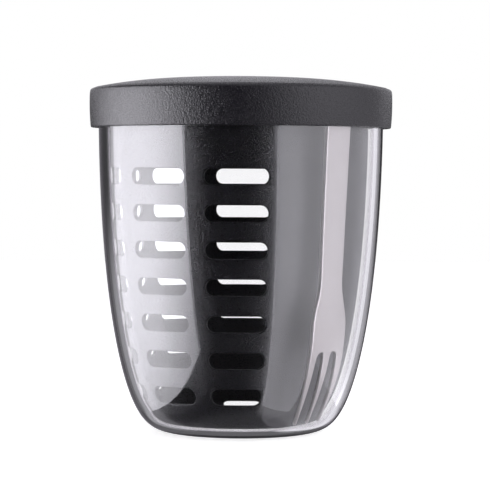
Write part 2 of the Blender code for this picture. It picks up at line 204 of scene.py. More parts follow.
def grid_faces(rows, columns, wrap=False, start=0):
    """Quads of a grid of points stored row by row; wrap joins the last column to the first."""
    index = start + np.arange(rows * columns).reshape(rows, columns)
    if wrap:
        index = np.concatenate([index, index[:, :1]], axis=1)
    quads = np.stack([index[:-1, :-1], index[:-1, 1:], index[1:, 1:], index[1:, :-1]], axis=-1)
    return quads.reshape(-1, 4)


class Patches:
    """Grids of points that are gathered and then merged into one mesh."""

    def __init__(self):
        self.blocks, self.faces, self.count = [], [], 0

    def add(self, grid, wrap=False):
        """Add a grid of points, rows by columns."""
        rows, columns = grid.shape[:2]
        self.blocks.append(grid.reshape(-1, 3))
        self.faces.append(grid_faces(rows, columns, wrap, self.count))
        self.count += rows * columns

    def mesh(self, name, merge):
        """The closed mesh of all the grids."""
        return mesh_object(name, np.concatenate(self.blocks), np.concatenate(self.faces).tolist(), merge)


def turned(name, profile, steps):
    """A body of revolution: x, y = radius times sine and minus cosine of the azimuth, z = height.

    A profile that starts and ends on the axis gets a pole there; any other is joined to itself.
    """
    profile = np.asarray(profile, float)
    poles = profile[0, 0] < 1e-9
    rings = profile[1:-1] if poles else np.concatenate([profile, profile[:1]])
    turn = np.linspace(0.0, 2.0 * math.pi, steps, endpoint=False)
    radius, height = rings[:, :1], np.broadcast_to(rings[:, 1:], (len(rings), steps))
    points = np.stack([radius * np.sin(turn), -radius * np.cos(turn), height], axis=-1).reshape(-1, 3)
    faces = grid_faces(len(rings), steps, wrap=True).tolist()
    if not poles:
        return mesh_object(name, points, faces, merge=1e-7)
    ends = np.array([[0.0, 0.0, profile[0, 1]], [0.0, 0.0, profile[-1, 1]]])
    first, last = len(points), len(points) + 1
    low = np.arange(steps)
    high = low + (len(rings) - 1) * steps
    fans = np.stack([np.full(steps, first), np.roll(low, -1), low], axis=1).tolist()
    fans += np.stack([np.full(steps, last), high, np.roll(high, -1)], axis=1).tolist()
    return mesh_object(name, np.concatenate([points, ends]), faces + fans)


def corner(center, radius, start, end, steps):
    """Arc points: centre plus radius times cosine and sine of an angle from start to end, in degrees."""
    angle = np.radians(np.linspace(start, end, steps + 1))
    return np.stack([center[0] + radius * np.cos(angle), center[1] + radius * np.sin(angle)], axis=1)


def run(start, end, steps):
    """Evenly spaced points of a straight line, without its two ends."""
    share = np.linspace(0.0, 1.0, steps + 1)[1:-1, None]
    return np.asarray(start) * (1.0 - share) + np.asarray(end) * share


def path_lengths(line):
    """Length along a line of points up to each of them."""
    return np.concatenate([[0.0], np.cumsum(np.hypot(*np.diff(line, axis=0).T))])


# Outlines


def outer_outline(share):
    """Pot's outside at shares t of the depth below the lid's edge.

    Radius = top radius x (1 - lean t - curve t^2) x (1 - t^belly)^foot.
    """
    side = 1.0 - SIDE_LEAN * share - SIDE_CURVE * share ** 2
    foot = (1.0 - share ** BELLY_POWER) ** FOOT_POWER
    return POT_RADIUS * side * foot, LID_EDGE * (1.0 - share / FOOT_SHARE)


def inset_outline(inset, steps):
    """The outline moved in along its normal by inset, from the base's edge up to the lid's edge."""
    even = np.linspace(0.0, 1.0, steps + 1)
    share = FOOT_SHARE * (1.0 - even ** FOOT_CROWDING)
    nudge = 0.1 * (1.0 - FOOT_SHARE)
    radius, height = outer_outline(share)
    radius_above, height_above = outer_outline(np.maximum(share - nudge, 0.0))
    radius_below, height_below = outer_outline(share + nudge)
    across, along = radius_above - radius_below, height_above - height_below
    length = np.hypot(across, along)
    points = np.stack([radius - inset * along / length, height + inset * across / length], axis=1)
    points[-1] = (POT_RADIUS - inset, LID_EDGE)
    return points


def radius_at(inset, height):
    """Radius of the inset outline at heights; it stays upright above the lid's edge."""
    line = inset_outline(inset, RADIUS_TABLE)
    return np.interp(height, line[:, 1], line[:, 0])


def bay_half(height):
    """Half the angle that the fork bay opens at heights."""
    depth = np.clip(1.0 - height / LID_EDGE, 0.0, 1.0)
    return BAY_TOP_HALF + (BAY_FOOT_HALF - BAY_TOP_HALF) * depth ** BAY_SPREAD_POWER


def bay_distance(height):
    """Distance of the bay wall from the axis: it follows the bay's angle down to its foot's distance."""
    follow = radius_at(BASKET_INSET, height) * np.cos(bay_half(height))
    return np.maximum(follow, BAY_FLOOR_DISTANCE)


# Pot


def pot_profile(wall):
    """Half section of the pot: base, outside, ledge under the lid, neck, round rim, inside, floor."""
    outside = inset_outline(0.0, OUTLINE_STEPS)
    inside = inset_outline(wall, OUTLINE_STEPS)
    thin = np.clip(1.0 - inside[:, 1] / FOOT_HEIGHT, 0.0, 1.0) ** 2
    inside = inside + (outside - inside) * (FOOT_THINNING * thin * (inside[:, 0] / POT_RADIUS))[:, None]
    neck, inner = POT_RADIUS - NECK_INSET, POT_RADIUS - wall
    foot, ledge, rim = outside[0, 0], LID_EDGE + LEDGE_RISE, RIM_TOP - RIM_ROUND
    base = [[0.0, 0.0], [foot * 0.5, 0.0], [foot - BASE_EDGE, 0.0]]
    side = outside[outside[:, 1] > 0.05 * MM]
    shoulder = [[POT_RADIUS, ledge], [neck + 0.05 * MM, ledge + SHOULDER_RISE]]
    neck_side = run([neck, ledge + NECK_RISE], [neck, rim], ROUND_STEPS)
    rim_out = corner((neck - RIM_ROUND, rim), RIM_ROUND, 0.0, 90.0, ROUND_STEPS)
    rim_in = corner((inner + RIM_ROUND, rim), RIM_ROUND, 90.0, 180.0, ROUND_STEPS)
    upright = run([inner, rim], [inner, LID_EDGE], 5)
    floor = [[inside[0, 0] * 0.5, inside[0, 1]], [0.0, inside[0, 1]]]
    wall_parts = [side, shoulder, neck_side, rim_out, rim_in, upright, inside[::-1]]
    return np.concatenate([base] + wall_parts + [floor])


# Basket


class BasketForm:
    """The basket's wall as one function of azimuth, station along its section and depth into the wall.

    Stations run over the floor as a radius, round the foot as a length and up the side as a height.
    A depth between the faces lies on the straight line between the outer and the inner section.
    """

    def __init__(self, wall):
        self.wall = wall
        self.foot_top = LOWEST_ROW - ROW_PITCH / 2.0
        outer = self.section(0.0)
        inner = self.section(wall)
        self.floor_end = outer[0, 0]
        self.side_start = self.floor_end + path_lengths(outer)[-1]
        self.share = np.linspace(0.0, 1.0, FOOT_TABLE)
        self.foot = []
        for line in (outer, inner):
            along = path_lengths(line)
            along /= along[-1]
            self.foot.append([np.interp(self.share, along, line[:, i]) for i in (0, 1)])

    def section(self, depth):
        """Outline of one face from the floor's edge to the top of the foot."""
        line = inset_outline(BASKET_INSET + depth, SECTION_TABLE)
        kept = line[line[:, 1] < self.foot_top]
        top = [[np.interp(self.foot_top, line[:, 1], line[:, 0]), self.foot_top]]
        return np.concatenate([kept, top])

    def height_station(self, height):
        """Station of a height on the side."""
        return self.side_start + height - self.foot_top

    def foot_station(self, height):
        """Station of a height on the foot's outer face."""
        stations = self.floor_end + self.share * (self.side_start - self.floor_end)
        return np.interp(height, self.foot[0][1], stations)

    def face(self, station, which):
        """Radius and height of the outer (0) or inner (1) face at stations."""
        radius_table, height_table = self.foot[which]
        share = (station - self.floor_end) / (self.side_start - self.floor_end)
        radius = np.interp(share, self.share, radius_table)
        height = np.interp(share, self.share, height_table)
        on_floor = station < self.floor_end
        radius = np.where(on_floor, station * radius_table[0] / self.floor_end, radius)
        height = np.where(on_floor, height_table[0], height)
        on_side = station > self.side_start
        side_height = self.foot_top + station - self.side_start
        side_radius = radius_at(BASKET_INSET + which * self.wall, side_height)
        radius = np.where(on_side, side_radius, radius)
        height = np.where(on_side, side_height, height)
        return radius, height

    def half(self, station):
        """Half angle of the bay's own grid at stations: the bay's edge, and never less than a set angle."""
        radius, height = self.face(station, 0)
        edge = np.arccos(np.clip(bay_distance(height) / np.maximum(radius, 1e-6), -1.0, 1.0))
        return np.maximum(edge, BAY_LEAST_HALF) + BAY_MARGIN

    def points(self, azimuth, station, depth):
        """Positions: the lesser of the round radius and the bay wall's, eased where they meet.

        The bay wall's radius is its distance over the cosine of the azimuth from the bay.
        """
        azimuth, station, depth = np.broadcast_arrays(azimuth, station, depth)
        outer_radius, outer_height = self.face(station, 0)
        inner_radius, inner_height = self.face(station, 1)
        share = depth / self.wall
        radius = outer_radius + (inner_radius - outer_radius) * share
        height = outer_height + (inner_height - outer_height) * share
        distance = bay_distance(height) - depth
        cosine = np.cos(azimuth - BAY_AZIMUTH)
        flat = np.where(cosine > LEAST_COSINE, distance / np.maximum(cosine, LEAST_COSINE), 1.0)
        gap = np.minimum(np.abs(radius - flat) / CREASE_EASE, 60.0)
        reach = np.minimum(radius, flat) - CREASE_EASE * np.log1p(np.exp(-gap))
        return np.stack([reach * np.sin(azimuth), -reach * np.cos(azimuth), height], axis=-1)


def hole_stations(end_steps, straight_steps, side_steps, side_straight):
    """Stations round a slot and its cell, anticlockwise from the lower left corner.

    Each has the slot's outward direction, its corner's place (-1 to 1) and its place in the cell
    (0 to 1). The steps are those of half a corner and of the straight part below and above, and of a
    whole side and of its straight part.
    """
    angle = np.concatenate([
        np.linspace(225.0, 270.0, end_steps, endpoint=False),
        np.full(straight_steps, 270.0),
        np.linspace(270.0, 315.0, end_steps, endpoint=False),
    ])
    across = np.concatenate([
        np.full(end_steps, -1.0), np.linspace(-1.0, 1.0, straight_steps + 1)[:-1], np.full(end_steps, 1.0)
    ])
    side_end = (side_steps - side_straight) // 2
    side_angle = np.concatenate([
        np.linspace(315.0, 360.0, side_end, endpoint=False),
        np.full(side_straight, 360.0),
        np.linspace(360.0, 405.0, side_end, endpoint=False),
    ])
    up = np.concatenate([
        np.full(side_end, -1.0),
        np.linspace(-1.0, 1.0, side_straight + 1)[:-1],
        np.full(side_end, 1.0),
    ])
    if not side_straight:
        # The point at the middle of a fully round end
        up[side_end] = 0.0
    count, side_count = len(angle), len(side_angle)
    low = np.arange(count) / count
    side = np.arange(side_count) / side_count
    ones, side_ones = np.ones(count), np.ones(side_count)
    turn = np.radians(np.concatenate([angle, side_angle, angle + 180.0, side_angle + 180.0]))
    return {
        "out_u": np.cos(turn),
        "out_v": np.sin(turn),
        "corner_u": np.concatenate([across, side_ones, -across, -side_ones]),
        "corner_v": np.concatenate([-ones, up, ones, -up]),
        "cell_u": np.concatenate([low, side_ones, 1.0 - low, 0.0 * side_ones]),
        "cell_v": np.concatenate([0.0 * ones, side, ones, 1.0 - side]),
    }


def wall_rings(wall, edge, steps):
    """Rings from the cell's edge on the outer face, through the slot's rounded edges, to the inner face.

    Each is a share of the way to the cell's edge, an offset from the slot's wall and a depth.
    """
    quarter = np.radians(np.linspace(0.0, 90.0, steps + 1))
    rise, fall = edge * (1.0 - np.cos(quarter)), edge * (1.0 - np.sin(quarter))
    blend = np.array([1.0, 0.72, 0.45, 0.2, 0.06])
    outer = np.stack([0.0 * quarter, fall, rise], axis=1)
    inner = np.stack([0.0 * quarter, rise, wall - fall], axis=1)
    face = np.stack([blend, np.full(len(blend), edge), np.zeros(len(blend))], axis=1)
    back = np.stack([blend[::-1], np.full(len(blend), edge), np.full(len(blend), wall)], axis=1)
    return np.concatenate([face, outer, inner, back])


def basket_mesh(size):
    """The strainer basket: cells with slots, plain fields, bay wall, floor and rim, made one shell."""
    wall, slot_height = size.basket_wall, size.slot_height
    form, patches = BasketForm(wall), Patches()
    slot_round = slot_height / 2.0
    edges = FIRST_COLUMN - COLUMN_PITCH * (np.arange(COLUMNS + 1) - 0.5)
    top = form.height_station(BASKET_TOP - BASKET_RIM_ROUND)
    rows = form.side_start + ROW_PITCH * np.arange(ROWS + 1)
    # Start, end, steps and crowding power of the stations of each band: floor, foot, rows of slots, top
    zones = [(FLOOR_HUB, form.floor_end, 10, 1.0), (form.floor_end, form.side_start, 20, 1.35)]
    zones += [(low, high, 10, 1.0) for low, high in zip(rows[:-1], rows[1:])]
    zones.append((rows[-1], top, 12, 1.0))
    straight = hole_stations(end_steps=4, straight_steps=8, side_steps=10, side_straight=0)
    squared = hole_stations(end_steps=4, straight_steps=8, side_steps=20, side_straight=6)
    rings = wall_rings(wall, SLOT_EDGE, steps=4)

    def column_azimuth(share, station, column):
        right = edges[column] if column else BAY_AZIMUTH - form.half(station)
        return edges[column + 1] + (right - edges[column + 1]) * share

    def bay_azimuth(share, station):
        return BAY_AZIMUTH + share * form.half(station)

    def plain_azimuth(share, station):
        start = BAY_AZIMUTH + form.half(station)
        return start + (edges[-1] + 2.0 * math.pi - start) * share

    even = np.arange(COLUMN_STEPS + 1) / COLUMN_STEPS
    columns = [(lambda share, station, c=column: column_azimuth(share, station, c), even)
               for column in range(COLUMNS)]
    crowd = np.sin(0.5 * math.pi * np.linspace(-1.0, 1.0, BAY_STEPS + 1))
    others = [(bay_azimuth, crowd), (plain_azimuth, np.arange(PLAIN_STEPS + 1) / PLAIN_STEPS)]

    def cell(zone, column, hole, place):
        """One column of one band with a slot in it: the two faces and the slot's wall between them."""
        low, high, _, power = zones[zone]
        blend, offset, depth = (rings[:, i][:, None] for i in range(3))
        u = place["reach_u"] * hole["corner_u"] + (place["round"] + offset) * hole["out_u"]
        v = place["reach_v"] * hole["corner_v"] + (place["round"] + offset) * hole["out_v"]
        middle = FIRST_COLUMN - column * COLUMN_PITCH
        if zone == 0:
            azimuth = middle + np.arctan2(u, place["middle"] + v)
            station = np.hypot(u, place["middle"] + v)
        else:
            azimuth = middle + np.arctan2(u, place["radius"])
            station = place["middle"] + v
        cell_station = low + (high - low) * hole["cell_v"] ** power
        cell_azimuth = column_azimuth(hole["cell_u"], cell_station, column)
        station = station * (1.0 - blend) + cell_station * blend
        azimuth = azimuth * (1.0 - blend) + cell_azimuth * blend
        patches.add(form.points(azimuth, station, depth), wrap=True)

    def field(azimuth_of, share, low, high, steps, power):
        """A band of plain wall: its outer and its inner face."""
        station = (low + (high - low) * (np.arange(steps + 1) / steps) ** power)[:, None]
        for depth in (0.0, wall):
            patches.add(form.points(azimuth_of(share, station), station, depth))

    for column, sector in enumerate(columns):
        for zone in range(len(zones)):
            if zone == 0:
                cell(zone, column, straight, {
                    "middle": FLOOR_SLOT_MIDDLE, "round": FLOOR_SLOT_WIDTH / 2.0,
                    "reach_u": 0.0, "reach_v": (FLOOR_SLOT_LENGTH - FLOOR_SLOT_WIDTH) / 2.0,
                })
            elif zone == 1 and column >= FIRST_DRAIN_COLUMN:
                inner_end = max(form.floor_end, DRAIN_INNER)
                upper = form.foot_station(DRAIN_MIDDLE + slot_height / 2.0)
                radius = float(radius_at(BASKET_INSET, DRAIN_MIDDLE))
                drain_round = slot_round * DRAIN_ROUND_SHARE
                cell(zone, column, squared, {
                    "middle": (inner_end + upper) / 2.0, "round": drain_round, "radius": radius,
                    "reach_u": radius * math.tan(SLOT_HALF_ANGLE) - drain_round,
                    "reach_v": (upper - inner_end) / 2.0 - drain_round,
                })
            elif 2 <= zone < 2 + ROWS:
                height = LOWEST_ROW + (zone - 2) * ROW_PITCH
                radius = float(radius_at(BASKET_INSET, height))
                cell(zone, column, straight, {
                    "middle": form.height_station(height), "round": slot_round, "radius": radius,
                    "reach_u": radius * math.tan(SLOT_HALF_ANGLE) - slot_round, "reach_v": 0.0,
                })
            else:
                field(*sector, *zones[zone])
    for zone in zones:
        for sector in others:
            field(*sector, *zone)

    # The rim: two quarter rounds from the outer face over the top to the inner face
    quarter = np.radians(np.linspace(0.0, 90.0, 5))[:, None]
    rise, fall = BASKET_RIM_ROUND * np.sin(quarter), BASKET_RIM_ROUND * np.cos(quarter)
    lift = top + np.concatenate([rise, fall])
    into = np.concatenate([BASKET_RIM_ROUND - fall, wall - BASKET_RIM_ROUND + rise])
    for azimuth_of, share in columns + others:
        patches.add(form.points(azimuth_of(share, top), lift, into))
    # The floor's middle
    ring = np.array([[0.0], [0.35], [0.7], [1.0]]) * FLOOR_HUB
    for azimuth_of, share in columns + others:
        for depth in (0.0, wall):
            patches.add(form.points(azimuth_of(share, FLOOR_HUB), ring, depth))
    return patches.mesh("basket_shell", merge=2e-6)


def mark_bay(piece):
    """Mark the bay wall's outer face in a point attribute: 1 on the bay plane, 0 a little inside it."""
    mesh = piece.data
    place = np.empty(3 * len(mesh.vertices))
    mesh.vertices.foreach_get("co", place)
    place = place.reshape(-1, 3)
    along = place[:, 0] * math.sin(BAY_AZIMUTH) - place[:, 1] * math.cos(BAY_AZIMUTH)
    depth = bay_distance(place[:, 2]) - along
    attribute = mesh.attributes.new("bay", "FLOAT", "POINT")
    attribute.data.foreach_set("value", np.clip(1.0 - (depth - MARK_DEPTH) / MARK_FADE, 0.0, 1.0))


# Fork


def fork_length():
    """Length along the fork from its tips to the end of the handle, by its top height."""
    head_rise = HEAD_ARC * (math.sin(TIP_ANGLE) - math.sin(FORK_LEAN))
    return HEAD_ARC * (TIP_ANGLE - FORK_LEAN) + (FORK_TOP - TIP_HEIGHT - head_rise) / math.cos(FORK_LEAN)


def fork_half_width(along):
    """Half the width at distances from the tips: spread tines, head, smooth waist, handle, round end."""
    length = fork_length()
    spread = np.sin(0.5 * math.pi * np.clip(along / TINE_LENGTH, 0.0, 1.0))
    tines = TIP_SPAN + (HEAD_WIDTH - TIP_SPAN) * spread
    ease = np.clip((along - HEAD_LENGTH) / (WAIST_AT - HEAD_LENGTH), 0.0, 1.0)
    ease = ease * ease * (3.0 - 2.0 * ease)
    head = HEAD_WIDTH + (WAIST_WIDTH - HEAD_WIDTH) * ease
    share = (along - WAIST_AT) / (length - WAIST_AT)
    over = np.clip((along - length + HANDLE_ROUND) / HANDLE_ROUND, 0.0, 1.0)
    end = np.sqrt(1.0 - END_ROUNDING * over ** 2)
    handle = (WAIST_WIDTH + (HANDLE_END_WIDTH - WAIST_WIDTH) * share) * end
    return 0.5 * np.where(along < TINE_LENGTH, tines, np.where(along < WAIST_AT, head, handle))


def fork_lines(along):
    """The six lines that bound three tines and two gaps, whose roots are round."""
    half = fork_half_width(along)
    share = np.clip(along / TINE_LENGTH, 0.0, 1.0)
    root = (HEAD_WIDTH - 2.0 * TINE_GAP) / 3.0
    tine = TINE_TIP + (root - TINE_TIP) * share
    to_root = (TINE_LENGTH - along) / ROOT_ROUND
    closing = np.sqrt(np.clip(1.0 - (1.0 - np.clip(to_root, 0.0, 1.0)) ** 2, 0.0, 1.0))
    closed = (2.0 * half - 2.0 * TINE_GAP * closing) / 3.0
    tine = np.where(to_root < 1.0, closed, tine)
    return np.stack([-half, -half + tine, -tine / 2.0, tine / 2.0, half - tine, half], axis=-1)


def fork_place(along, across, lift):
    """Bend the flat fork: an arc from the tips' angle to the handle's lean, then straight.

    Lift is the distance from the sheet's middle, square to it.
    """
    arc_length = HEAD_ARC * (TIP_ANGLE - FORK_LEAN)
    curved = np.minimum(along, arc_length)
    angle = TIP_ANGLE - curved / HEAD_ARC
    out = HEAD_ARC * (np.cos(angle) - math.cos(TIP_ANGLE)) + (along - curved) * math.sin(FORK_LEAN)
    up = HEAD_ARC * (math.sin(TIP_ANGLE) - np.sin(angle)) + (along - curved) * math.cos(FORK_LEAN)
    return out + lift * np.cos(angle), across, up - lift * np.sin(angle)


def fork_mesh(size):
    """The fork: both faces rise from its outline to half the thickness by a quarter round, then run flat."""
    thickness = size.fork_thickness
    edge = size.fork_edge
    room = radius_at(POT_WALL + FORK_SEAT_GAP + thickness / 2.0, TIP_HEIGHT)
    tip = math.sqrt(float(room) ** 2 - (TIP_SPAN / 2.0) ** 2)
    length = fork_length()
    tines = np.concatenate([
        np.linspace(0.0, edge, 4)[:-1],
        np.linspace(edge, TINE_LENGTH - ROOT_ROUND, 34)[:-1],
        TINE_LENGTH - ROOT_ROUND * np.cos(np.linspace(0.0, 0.5 * math.pi, 12)),
    ])
    body = np.concatenate([
        TINE_LENGTH + np.array([0.15, 0.35, 0.6, 1.0, 1.5]) * edge,
        np.linspace(TINE_LENGTH + 2.0 * edge, WAIST_AT, 30)[1:],
        np.linspace(WAIST_AT, length - HANDLE_ROUND, 30)[1:],
        length - HANDLE_ROUND + (HANDLE_ROUND - edge) * np.sin(np.linspace(0.0, 0.5 * math.pi, 14))[1:],
        length - edge + edge * np.array([0.25, 0.5, 0.75, 1.0]),
    ])
    crowd = 0.5 - 0.5 * np.cos(np.linspace(0.0, math.pi, 13))
    bridge = np.array([0.0, 1.0])

    def strip_grid(along, strip, shares):
        lines = fork_lines(along)
        left, right = lines[:, strip:strip + 1], lines[:, strip + 1:strip + 2]
        return left + (right - left) * shares, along[:, None] + 0.0 * shares

    whole = np.concatenate([[TINE_LENGTH], body])
    grids = [strip_grid(tines, strip, crowd) for strip in (0, 2, 4)]
    grids += [strip_grid(whole, strip, bridge if strip % 2 else crowd) for strip in range(5)]
    outline = fork_outline(tines, whole)
    patches = Patches()
    for across, along in grids:
        off = np.clip(outline_distance(across, along, outline) / edge, 0.0, 1.0)
        lift = 0.5 * thickness * np.sqrt(np.clip(1.0 - (1.0 - off) ** 2, 0.0, 1.0))
        for side in (-1.0, 1.0):
            out, over, up = fork_place(along, across, side * lift)
            radial = tip + out
            x = radial * math.sin(FORK_AZIMUTH) + over * math.cos(FORK_AZIMUTH)
            y = -radial * math.cos(FORK_AZIMUTH) + over * math.sin(FORK_AZIMUTH)
            patches.add(np.stack([x, y, TIP_HEIGHT + up], axis=-1))
    return patches.mesh("fork_body", merge=1e-6)


def fork_outline(tines, whole):
    """Segments of the flat fork's edge: tine sides and tips, the handle's sides and its end."""
    lines = fork_lines(tines)
    half = fork_half_width(whole)
    paths = [np.stack([lines[:, i], tines], axis=1) for i in range(6)]
    paths += [np.array([[lines[0, i], 0.0], [lines[0, i + 1], 0.0]]) for i in (0, 2, 4)]
    paths += [np.stack([side * half, whole], axis=1) for side in (-1.0, 1.0)]
    paths.append(np.array([[-half[-1], whole[-1]], [half[-1], whole[-1]]]))
    return np.concatenate([np.concatenate([path[:-1], path[1:]], axis=1) for path in paths])


def outline_distance(across, along, segments):
    """Least distance of grid points from a set of straight segments."""
    shape = across.shape
    points = np.stack([across.ravel(), along.ravel()], axis=1)[:, None, :]
    start, end = segments[None, :, :2], segments[None, :, 2:]
    line = end - start
    share = np.clip(((points - start) * line).sum(-1) / np.maximum((line ** 2).sum(-1), 1e-18), 0.0, 1.0)
    nearest = start + share[..., None] * line
    return np.sqrt(((points - nearest) ** 2).sum(-1)).min(axis=1).reshape(shape)


# Lid and seal


def lid_side(height):
    """Radius of the lid's side: full at its bulge, less a square law towards both edges."""
    middle = LID_EDGE + LID_BULGE_SHARE * LID_SIDE_HEIGHT
    below = np.clip((middle - height) / (middle - LID_EDGE), 0.0, 1.0)
    above = np.clip((height - middle) / (LID_EDGE + LID_SIDE_HEIGHT - middle), 0.0, 1.0)
    return LID_RADIUS - LID_LOWER_DRAW * below ** 2 - LID_UPPER_DRAW * above ** 2


def dome(radius):
    """Height of the lid's top: the corner's height plus the rise x (1 - (radius / lid radius)^power)."""
    return LID_EDGE + LID_SIDE_HEIGHT + DOME_RISE * (1.0 - (radius / LID_RADIUS) ** DOME_POWER)


def lid_profile(wall):
    """Half section of the lid: dome, shoulder, side, foot, skirt and bead, lip inside the seal, vault."""
    top_edge = LID_EDGE + LID_SIDE_HEIGHT
    radii = np.linspace(0.0, LID_RADIUS - 2.0 * LID_CORNER, 40)
    top = np.stack([radii, dome(radii)], axis=1)
    shoulder_at = (float(lid_side(top_edge)) - LID_CORNER, top_edge - LID_CORNER)
    shoulder = corner(shoulder_at, LID_CORNER, 80.0, 0.0, 8)
    heights = np.linspace(top_edge - 1.5 * LID_CORNER, LID_EDGE + 1.5 * LID_FOOT, 22)
    side = np.stack([lid_side(heights), heights], axis=1)
    skirt = float(lid_side(LID_EDGE)) - wall
    foot = corner((float(lid_side(LID_EDGE)) - LID_FOOT, LID_EDGE + LID_FOOT), LID_FOOT, 0.0, -90.0, 5)
    inner_foot = corner((skirt + LID_FOOT, LID_EDGE + LID_FOOT), LID_FOOT, -90.0, -180.0, 4)
    swell = np.linspace(0.0, math.pi, 9)
    bead = skirt - (skirt - POT_RADIUS + BEAD_GAP) * np.sin(swell)
    ring = np.stack([bead, LID_EDGE + BEAD_RISE - BEAD_HALF * np.cos(swell)], axis=1)
    ceiling = SEAL_HIGH + SEAL_GAP
    lip_outer = SEAL_INNER - SEAL_GAP
    lip_inner = lip_outer - LIP_WIDTH
    lip_foot = SEAL_LOW + LIP_ROUND
    inner = [[skirt, ceiling], [lip_outer, ceiling]]
    lip = [[lip_outer, lip_foot + LIP_ROUND], [lip_outer - LIP_ROUND, lip_foot]]
    lip += [[lip_inner + LIP_ROUND, lip_foot], [lip_inner, lip_foot + LIP_ROUND]]
    under = np.linspace(lip_inner, 0.0, 24)
    vault = np.stack([under, dome(under) - wall], axis=1)
    return np.concatenate([top, shoulder, side, foot, inner_foot, ring, inner, lip, vault])


def seal_profile():
    """Section of the seal: a flat ring with rounded edges."""
    inner, outer = SEAL_INNER + SEAL_ROUND, SEAL_OUTER - SEAL_ROUND
    low, high = SEAL_LOW + SEAL_ROUND, SEAL_HIGH - SEAL_ROUND
    corners = ((outer, low), (outer, high), (inner, high), (inner, low))
    return np.concatenate([
        corner(place, SEAL_ROUND, 90.0 * turn - 90.0, 90.0 * turn, 4)
        for turn, place in enumerate(corners)
    ])


# Materials

# The part of a noise's range that most of its surface lies in
NOISE_RANGE = {"From Min": 0.3, "From Max": 0.7}
# The grain: how much lighter a speck may be, specks to a pebble, and how much rougher the bay wall is
SPECK_LIGHTNESS = 1.6
SPECKS_PER_PEBBLE = 1.9
BAY_SOFTNESS = 0.07
# Distance between the fork's brush lines, and their length
BRUSH_PITCH = 0.25 * MM
BRUSH_LENGTH = 9.0 * MM
# Width of a cloud in the seal's sheen
CLOUD_WIDTH = 3.0 * MM


def linear(hex_colour):
    """An sRGB hex colour as linear red, green, blue and alpha."""
    values = [int(hex_colour[i:i + 2], 16) / 255.0 for i in (1, 3, 5)]
    return tuple(v / 12.92 if v <= 0.04045 else ((v + 0.055) / 1.055) ** 2.4 for v in values) + (1.0,)


def fill(node, inputs):
    """Fill a node's inputs: a socket is linked in, and anything else is set as the value."""
    for name, given in inputs.items():
        if isinstance(given, bpy.types.NodeSocket):
            node.id_data.links.new(given, node.inputs[name])
        else:
            node.inputs[name].default_value = given


def add_node(tree, kind, inputs=None, **settings):
    """Add a shader node with its settings, and with its inputs' values and links."""
    made = tree.nodes.new("ShaderNode" + kind)
    for name, value in settings.items():
        setattr(made, name, value)
    fill(made, inputs or {})
    return made


def new_material(name):
    """A new material, with its tree, its Principled shader and its object coordinates."""
    material = bpy.data.materials.new(name)
    material.use_nodes = True
    tree = material.node_tree
    place = add_node(tree, "TexCoord").outputs["Object"]
    return material, tree, tree.nodes["Principled BSDF"], place


def grained_polypropylene(name, colour, roughness, grain, depth, sheen_level):
    """Moulded polypropylene from a spark-eroded mould.

    The fine pebble grain breaks the soft sheen of the studio lights into a sparkle of light and dark
    specks. The real pebbles are about half as wide; they are drawn as coarse as they need to be to show.
    The bay wall, marked by the bay attribute, is smoother: its grain fades and its sheen is even.
    """
    material, tree, shader, place = new_material(name)
    pebbles = add_node(
        tree, "TexVoronoi", {"Vector": place, "Scale": 1.0 / grain, "Smoothness": 0.4, "Randomness": 1.0},
        feature="SMOOTH_F1",
    )
    noise = add_node(
        tree, "TexNoise",
        {"Vector": place, "Scale": SPECKS_PER_PEBBLE / grain, "Detail": 1.0, "Roughness": 0.5},
    )
    smooth = add_node(tree, "Attribute", attribute_name="bay").outputs["Fac"]
    speckle = add_node(
        tree, "Mix", {"Factor": smooth, "A": noise.outputs["Fac"], "B": 0.5}
    ).outputs["Result"]
    mixed = add_node(tree, "Math", {0: pebbles.outputs["Distance"], 1: speckle}, operation="ADD")
    strength = add_node(tree, "MapRange", {"Value": smooth, "To Min": 1.0, "To Max": 0.0})
    bump = add_node(tree, "Bump", {
        "Distance": depth, "Height": mixed.outputs["Value"], "Strength": strength.outputs["Result"],
    })
    rough = add_node(tree, "MapRange", {
        "Value": speckle, **NOISE_RANGE, "To Min": roughness - 0.05, "To Max": roughness + 0.07,
    })
    soft = add_node(
        tree, "Math", {0: smooth, 1: BAY_SOFTNESS, 2: rough.outputs["Result"]}, operation="MULTIPLY_ADD"
    )
    pale = tuple(SPECK_LIGHTNESS * part for part in linear(colour)[:3]) + (1.0,)
    tone = add_node(tree, "Mix", {0: speckle, 6: linear(colour), 7: pale}, data_type="RGBA")
    fill(shader, {
        "Base Color": tone.outputs[2], "Roughness": soft.outputs["Value"], "Normal": bump.outputs["Normal"],
        "IOR": 1.5, "Specular IOR Level": sheen_level,
    })
    return material


def clear_styrene(name, body_colour, edge_tint_and_shade):
    """Clear injection-moulded styrene acrylonitrile.

    It bends the background into light and dark lines along its edges. There, at a grazing angle, it turns a
    little violet, because the light runs a long way through the plastic, and darker: painted shade that
    darkens every edge.
    """
    material, tree, shader, _ = new_material(name)
    facing = add_node(tree, "LayerWeight", {"Blend": 0.5})
    ramp = add_node(tree, "ValToRGB", {"Fac": facing.outputs["Facing"]})
    # Towards a grazing angle the colour goes from the body colour to the edge colour: partly the plastic's
    # violet tint, partly painted shade
    for number, (position, colour) in enumerate(((0.70, body_colour), (0.97, edge_tint_and_shade))):
        ramp.color_ramp.elements[number].position = position
        ramp.color_ramp.elements[number].color = linear(colour)
    fill(shader, {
        "Base Color": ramp.outputs["Color"], "Roughness": 0.0, "IOR": 1.57, "Transmission Weight": 1.0,
    })
    return material


